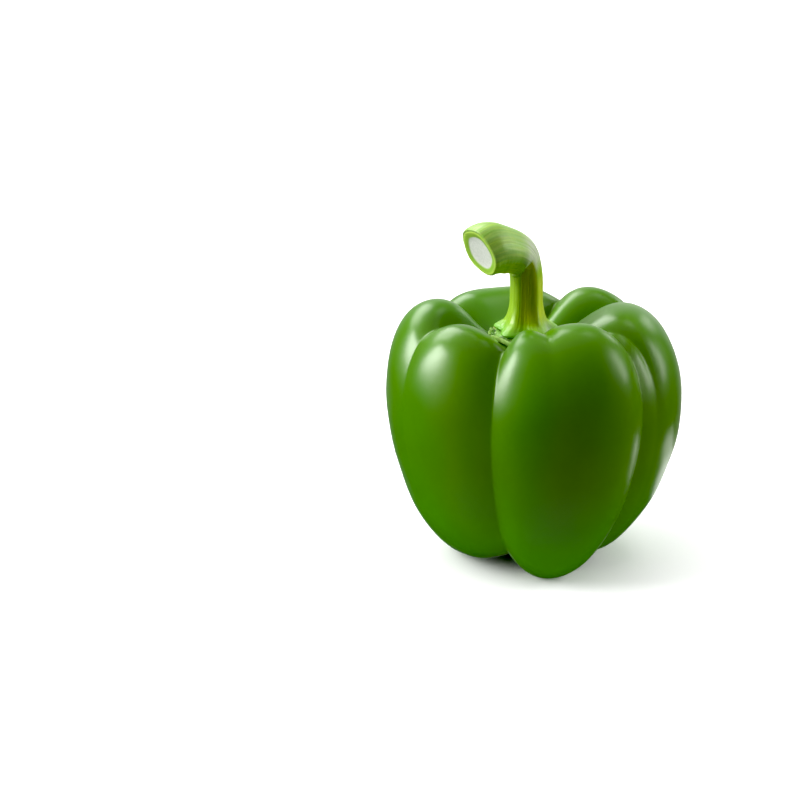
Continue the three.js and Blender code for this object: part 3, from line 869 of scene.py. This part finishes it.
class StageSettings(bpy.types.PropertyGroup):
    floor_size: length_property("Floor", "Width of the floor", 16.0)
    floor_pale: colour_property("Floor Colour", "The floor's white", (0.9, 0.9, 0.9))
    card_grey: colour_property("Card Colour", "The card under the floor", (0.3, 0.3, 0.3))
    floor_glow: number_property("Floor Glow", "Light that the floor gives off", 0.3)
    card_glow: number_property("Card Glow", "Light that the card gives off", 0.9)
    card_far_glow: number_property("Far Card Glow", "The card's light far off", 0.0)
    gloss_glow: number_property("Gloss Glow", "Light that the gloss shows", 0.5)
    camera_distance: length_property("Camera Distance", "From the fruit's middle to the camera", 0.7)
    camera_height: number_property(
        "Camera Elevation", "How steeply it looks down", math.radians(19.0), "ROTATION"
    )
    lens: number_property("Lens", "Focal length in millimetres", 103.95)
    sky: number_property("Surroundings", "Strength of the light from behind", 0.9)


# The point of the pepper that the camera is set by, where it appears in the photo and how wide the photo is.
ANCHOR = Vector((0.6, 0.3, 37.5)) * MM
ANCHOR_PIXEL = (535.0, 433.0)
PICTURE = 800.0
SENSOR = 36.0
CLIP = (0.01, 100.0)
# The light that is taken as black, as in a printed photo.
BLACK_LEVEL = 0.012
WHITE = (1.0, 1.0, 1.0, 1.0)
# How far under the floor the card lies.
CARD_DEPTH = 0.0005
# How far from the pepper's middle the floor starts to glow, and where it glows fully; on the floor the patch
# inside without glow is a painted shadow under the pepper.
GLOW_REACH = (0.01, 0.038)
# How far off the card's glow starts to fade, and where it has faded.
FADE_REACH = (0.045, 0.15)
# The part of the floor that shows in the gloss: left, right, front and back.
GLOSS_CARD = (0.05, 0.11, 0.022, 0.058)
# The surroundings glow only straight behind the pepper, and less at the left. Both ranges are shares of a
# direction's length, back and to the right.
BEHIND = (0.74, 0.98)
LEFT_TO_RIGHT = (-0.25, 0.15)
LEFT_SHARE = 0.45
# Soft boxes: name, azimuth, elevation, degrees wide, degrees high, radiance, and whether each shows in the
# gloss or lights the matte surfaces.
BOX_DISTANCE = 4.0
SOFT_BOXES = (
    ("gloss_left", 172, 22, 25, 28, 16, True),
    ("gloss_back", 122, 40, 38, 30, 6, True),
    ("gloss_crest", 54, 57, 16, 13, 2, True),
    ("gloss_high", 55, 21, 14, 12, 3.2, True),
    ("gloss_right", 11, 17, 15, 28, 5, True),
    ("fill_left", 180, 31, 43, 43, 8.2, False),
    ("fill_right", 20, 20, 36, 34, 8, False),
    ("fill_top", 112, 74, 60, 60, 2.4, False),
)


class PEPPER_OT_fruit(bpy.types.Operator):
    """Make the lobed fruit with its waxy skin"""

    bl_idname = "pepper.fruit"
    bl_label = "Fruit"

    def execute(self, context):
        settings = context.scene.pepper_fruit
        points, grooved = Skin(settings.degrees_per_column, settings.reach / MM).rings(settings.rows)
        mesh = closed_mesh("fruit_skin", points, {"groove": np.clip(grooved / DEEP_GROOVE, 0, 1)})
        mesh.materials.append(make_skin_material(settings))
        hand_in(link("fruit_skin", mesh), "fruit")
        return {"FINISHED"}


class PEPPER_OT_calyx(bpy.types.Operator):
    """Make the calyx in the hollow: its thin rim, and a rough ring strewn with warts"""

    bl_idname = "pepper.calyx"
    bl_label = "Calyx"

    def execute(self, context):
        settings = context.scene.pepper_calyx
        skin = Skin(CALYX_DEGREES_PER_COLUMN, context.scene.pepper_fruit.reach / MM)
        outer = skin.hollow_points(CALYX_RADIUS)
        azimuth = np.degrees(np.arctan2(*(outer - skin.centre).T[1::-1]))
        sector = 360 / CALYX_CORNERS
        past = np.mod(azimuth - CALYX_FIRST_CORNER, sector)
        straight = math.cos(math.radians(sector / 2)) / np.cos(np.radians(past - sector / 2))
        radius = CALYX_RADIUS * (straight + (1 - straight) * CALYX_ROUNDNESS)
        for waves, share, start in CALYX_WAVES:
            radius -= CALYX_RADIUS * share * (1 + np.sin(np.radians(waves * azimuth + start))) / 2
        rim_height = settings.rim_height / MM
        ring_start = 1 - CALYX_RIM_WIDTH / CALYX_RADIUS
        seat = CALYX_SEAT_RADIUS / CALYX_RADIUS
        rings, parts = [], []

        def add(share, lift, level=None, rim=0.0, ring=0.0):
            """Adds a ring lifted off the hollow, or at a level, and how much of it is rim and rough ring."""
            points = skin.hollow_points(radius * share)
            points[:, 2] = points[:, 2] + GAP + lift if level is None else level
            rings.append(points)
            parts.append((rim, ring))

        add(0.0, 0.0)
        for share in CALYX_UNDER:
            add(share, 0.0)
        for share, height in CALYX_RIM:
            add(share, rim_height * height, rim=1.0)
        for share in CALYX_RING:
            lift = RIM_LIFT * (1 - share) ** RIM_LIFT_FADE * (rim_height - CALYX_RING_HEIGHT)
            rim = (1 - share) ** RIM_COLOUR_FADE
            add(ring_start + (seat - ring_start) * share, CALYX_RING_HEIGHT + lift, rim=rim, ring=1.0)
        for share in CALYX_SEAT:
            add(seat * share, 0.0, level=CALYX_SEAT_HEIGHT)
        add(0.0, 0.0, level=CALYX_SEAT_HEIGHT)
        rings[0][:] = (*skin.centre[:2], skin.centre[2] + GAP)
        rings[-1][:] = (*skin.centre[:2], CALYX_SEAT_HEIGHT)
        rings = np.array(rings)
        around = np.ones(rings.shape[1])
        rim, ring = (np.array(values)[:, None] * around for values in zip(*parts))
        tip = rim * bump_of(np.minimum(past, sector - past), 0.0, TIP_WIDTH)
        base = link("calyx_base", closed_mesh("calyx_base", rings, {"rim": rim, "ring": ring, "tip": tip}))
        piece = wart_tree(settings).run(base, "calyx_rough", make_calyx_material(settings))
        hand_in(piece, "calyx")
        return {"FINISHED"}


def stem_rows(along, stations):
    """The stem's rings from the middle of its foot to the middle of its cut.

    Each row is a station, a share of its radius, how far the ring has sunk, its place along the stem, and how
    much of it is cut, bright rim and pith.
    """
    foot, cut = stations[0], stations[-1]
    edge = 1 - CUT_EDGE / cut[3]
    pith = 1 - CUT_RIND / cut[3]
    face = (
        # Share of the radius, sink, bright rim, pith.
        (0.985, -0.06, 1, 0),
        (edge, -0.1, 1, 0),
        (edge - 0.04, -0.04, 0.5, 0),
        (edge - 0.09, 0.06, 0, 0),
        (pith + 0.03, 0.16, 0, 0),
        (pith, CUT_SINK / 2, 0.3, 0.3),
        (pith - 0.04, 0.34, 0, 1),
        (0.7 * pith, 0.42, 0, 1),
        (0.45 * pith, 0.48, 0, 1),
        (0.2 * pith, CUT_SINK, 0, 1),
        (0, CUT_SINK, 0, 1),
    )
    rows = [(foot, share, 0, 0, 0, 0, 0) for share in FOOT_RINGS]
    rows += [(station, 1, 0, place, 0, 0, 0) for place, station in zip(along, stations)]
    return rows + [(cut, share, sink, 1, 1, rim, white) for share, sink, rim, white in face]


def stem_marks(place, turn, bend, is_cut):
    """How much of each colour, painted light and fold the stem has at every point.

    place is the share of its length, turn the way round from the side that it leans to, bend in degrees.
    """
    outer = 0.5 - 0.5 * np.cos(2 * np.pi * turn)
    away = np.minimum(turn, 1 - turn)
    head = rise(bend, *HEAD_BEND)
    foot = 1 - rise(place, *FOOT_PLACE)
    # The neck's colours run up into the bend as far as the fold, which climbs from the inner side outwards.
    fold_at = FOLD_BEND + FOLD_CLIMB * rise(turn, *FOLD_TURNS)
    neck = rise(place, *NECK_PLACE) * fall(bend, fold_at, NECK_FADE)
    olive = neck * band(turn, *OLIVE_BAND)
    # The yellow line beside the olive band, partly painted light on the neck's shaded side.
    edge = neck * band(turn, *EDGE_BAND) * fall(bend, *EDGE_BEND)
    # Painted light: the yellow colour laid on the head's shaded underside.
    edge += UNDERSIDE_PAINTED_LIGHT * head * fall(away, *UNDERSIDE_PAINTED_LIGHT_AWAY) * (1 - bump_of(bend, *CUT_BEND))
    # Whitish bloom on the outer side of the bend, partly painted sheen where light falls on its top.
    bloom_and_sheen = rise(bend, *BENT_BEND) * (1 - HEAD_BLOOM_SHEEN_LOSS * head) * rise(away, *BLOOM_SHEEN_AWAY) * (1 - olive)
    pinch = bump_of(bend, fold_at + FOLD_LIFT, FOLD_THICKNESS) * band(turn, *FOLD_BAND)
    pinch += SWELL_BEFORE_CUT * bump_of(bend, *SWELL_BEND) * outer**2
    return {
        # The foot's whitish patch is a painted highlight.
        "bloom_and_sheen": bloom_and_sheen + FOOT_PAINTED_HIGHLIGHT * foot * bump_of(turn, *FOOT_PAINTED_HIGHLIGHT_TURN),
        "olive": olive,
        "edge": edge,
        "head": head * (HEAD_LEAST + (1 - HEAD_LEAST) * rise(away, *HEAD_AWAY)),
        "foot": foot,
        "pinch": pinch * (1 - is_cut),
        "crinkled": rise(bend, *CRINKLE_BEND) * (1 - OUTER_CRINKLE_LOSS * outer),
        "side": (1 - is_cut) * rise(place, 0, SIDE_START) * fall(place, 1, SIDE_END),
    }


class PEPPER_OT_stem(bpy.types.Operator):
    """Make the bent stem with its fibres, its crinkled bend and its cut end"""

    bl_idname = "pepper.stem"
    bl_label = "Stem"

    def execute(self, context):
        settings = context.scene.pepper_stem
        along, stations = stem_stations(settings.steps)
        rows = stem_rows(along, stations)
        rings = np.array([stem_ring(row[0], settings.sides, *row[1:3]) for row in rows])
        facts = np.array([row[3:] for row in rows])
        flat = np.ones(settings.sides)
        place, is_cut, rind, white = (facts[:, k, None] * flat for k in range(4))
        turn = np.arange(settings.sides)[None] / settings.sides * np.ones_like(place)
        bend = np.interp(place, along, stations[:, 0])
        attributes = {"around": turn, "cut": is_cut, "rind": rind, "pith": white}
        attributes |= stem_marks(place, turn, bend, is_cut)
        circle = np.stack([np.cos(2 * np.pi * turn), np.sin(2 * np.pi * turn)], -1)
        for key, (round_scale, long_scale) in STEM_GRAINS.items():
            attributes[key] = np.concatenate([circle * round_scale, place[..., None] * long_scale], -1)
        mesh = closed_mesh("stem_base", rings, attributes)
        piece = fibre_tree(settings).run(link("stem_base", mesh), "stem_cut", make_stem_material(settings))
        hand_in(piece, "stem")
        return {"FINISHED"}


def lay_panel(material, sides, level, seen_by):
    """A flat panel of the stage between its left, right, front and back, and the rays that see it."""
    left, right, front, back = sides
    corners = [(left, front, level), (right, front, level), (right, back, level), (left, back, level)]
    mesh = bpy.data.meshes.new(material.name)
    mesh.from_pydata(corners, [], [(0, 1, 2, 3)])
    mesh.materials.append(material)
    panel = link(material.name, mesh)
    for ray in ("camera", "diffuse", "shadow", "glossy"):
        setattr(panel, f"visible_{ray}", ray in seen_by)


class PEPPER_OT_stage(bpy.types.Operator):
    """Make the pale floor, the soft light and the camera"""

    bl_idname = "pepper.stage"
    bl_label = "Stage"

    def execute(self, context):
        settings = context.scene.pepper_stage
        self.lay_floor(settings)
        self.make_light(context, settings)
        self.make_camera(context, settings)
        return {"FINISHED"}

    def lay_floor(self, settings):
        """The floor that the camera sees, a darker card just under it that throws light back up, and the
        white floor at the right as only the gloss of the pepper's right side shows it.
        """
        half = settings.floor_size / 2
        whole = (-half, half, -half, half)
        pale, glow, gloss = settings.floor_pale, settings.floor_glow, settings.gloss_glow
        card_glows = (settings.card_glow, settings.card_far_glow)
        lay_panel(make_floor_material("floor", pale, glow, glow), whole, 0, ("camera",))
        card = make_floor_material("bounce_card", settings.card_grey, *card_glows)
        lay_panel(card, whole, -CARD_DEPTH, ("diffuse", "shadow"))
        lay_panel(make_floor_material("gloss_card", pale, gloss, gloss), GLOSS_CARD, 0, ("glossy",))

    def make_light(self, context, settings):
        world = bpy.data.worlds.new("soft_studio")
        world.use_nodes = True
        nodes = Nodes(world.node_tree)
        direction = nodes.add("ShaderNodeTexCoord").outputs["Generated"]
        split = nodes.add("ShaderNodeSeparateXYZ", Vector=direction)
        glow = nodes.times(nodes.spread(split.outputs["Y"], *BEHIND), settings.sky)
        sideways = nodes.spread(split.outputs["X"], *LEFT_TO_RIGHT, LEFT_SHARE, 1.0)
        glow = nodes.times(glow, sideways)
        background = world.node_tree.nodes["Background"]
        nodes.feed(background, Strength=glow, Color=WHITE)
        world.cycles.sampling_method = "NONE"
        context.scene.world = world
        for name, azimuth, elevation, width, height, radiance, glossy in SOFT_BOXES:
            light = bpy.data.lights.new(name, "AREA")
            light.shape = "RECTANGLE"
            light.size, light.size_y = (
                2 * BOX_DISTANCE * math.tan(math.radians(angle / 2)) for angle in (width, height)
            )
            light.energy = radiance * math.pi * light.size * light.size_y
            box = bpy.data.objects.new(name, light)
            box.visible_glossy = glossy
            box.visible_diffuse = not glossy
            flat = BOX_DISTANCE * math.cos(math.radians(elevation))
            box.location = (
                flat * math.cos(math.radians(azimuth)),
                flat * math.sin(math.radians(azimuth)),
                BOX_DISTANCE * math.sin(math.radians(elevation)) + ANCHOR.z,
            )
            box.rotation_euler = (box.location - ANCHOR).to_track_quat("Z", "Y").to_euler()
            context.scene.collection.objects.link(box)

    def make_camera(self, context, settings):
        lens = bpy.data.cameras.new("photo_camera")
        lens.sensor_width = SENSOR
        lens.lens = settings.lens
        lens.dof.use_dof = False
        lens.clip_start, lens.clip_end = CLIP
        camera = bpy.data.objects.new("photo_camera", lens)
        tilt = settings.camera_height
        right = Vector((1.0, 0.0, 0.0))
        up = Vector((0.0, math.sin(tilt), math.cos(tilt)))
        back = Vector((0.0, -math.cos(tilt), math.sin(tilt)))
        focal = settings.lens / SENSOR * PICTURE
        across, down = ((pixel - PICTURE / 2) / focal for pixel in ANCHOR_PIXEL)
        ray = (right * across - up * down - back).normalized()
        camera.location = ANCHOR - ray * settings.camera_distance
        camera.rotation_euler = (math.pi / 2 - tilt, 0.0, 0.0)
        context.scene.collection.objects.link(camera)
        context.scene.camera = camera
        view = context.scene.view_settings
        view.view_transform = "Standard"
        view.look = "None"
        view.use_curve_mapping = True
        view.curve_mapping.black_level = (BLACK_LEVEL,) * 3
        view.curve_mapping.update()


class VIEW3D_PT_pepper(bpy.types.Panel):
    """The pieces of the pepper and its stage"""

    bl_label = "Bell Pepper"
    bl_space_type = "VIEW_3D"
    bl_region_type = "UI"
    bl_category = "Bell Pepper"

    def draw(self, context):
        for name, _, operator in PAGES:
            settings = getattr(context.scene, name)
            box = self.layout.box()
            box.operator(operator.bl_idname)
            for key in settings.__annotations__:
                box.prop(settings, key)


# Each page of the panel: the scene's name for its settings, their class and the operator.
PAGES = (
    ("pepper_fruit", FruitSettings, PEPPER_OT_fruit),
    ("pepper_calyx", CalyxSettings, PEPPER_OT_calyx),
    ("pepper_stem", StemSettings, PEPPER_OT_stem),
    ("pepper_stage", StageSettings, PEPPER_OT_stage),
)


def register():
    for name, group, operator in PAGES:
        bpy.utils.register_class(group)
        bpy.utils.register_class(operator)
        setattr(bpy.types.Scene, name, PointerProperty(type=group))
    bpy.utils.register_class(VIEW3D_PT_pepper)


def unregister():
    bpy.utils.unregister_class(VIEW3D_PT_pepper)
    for name, group, operator in reversed(PAGES):
        delattr(bpy.types.Scene, name)
        bpy.utils.unregister_class(operator)
        bpy.utils.unregister_class(group)


def main():
    register()
    bpy.ops.pepper.fruit()
    bpy.ops.pepper.calyx()
    bpy.ops.pepper.stem()
    bpy.ops.pepper.stage()


if __name__ == "__main__":
    main()
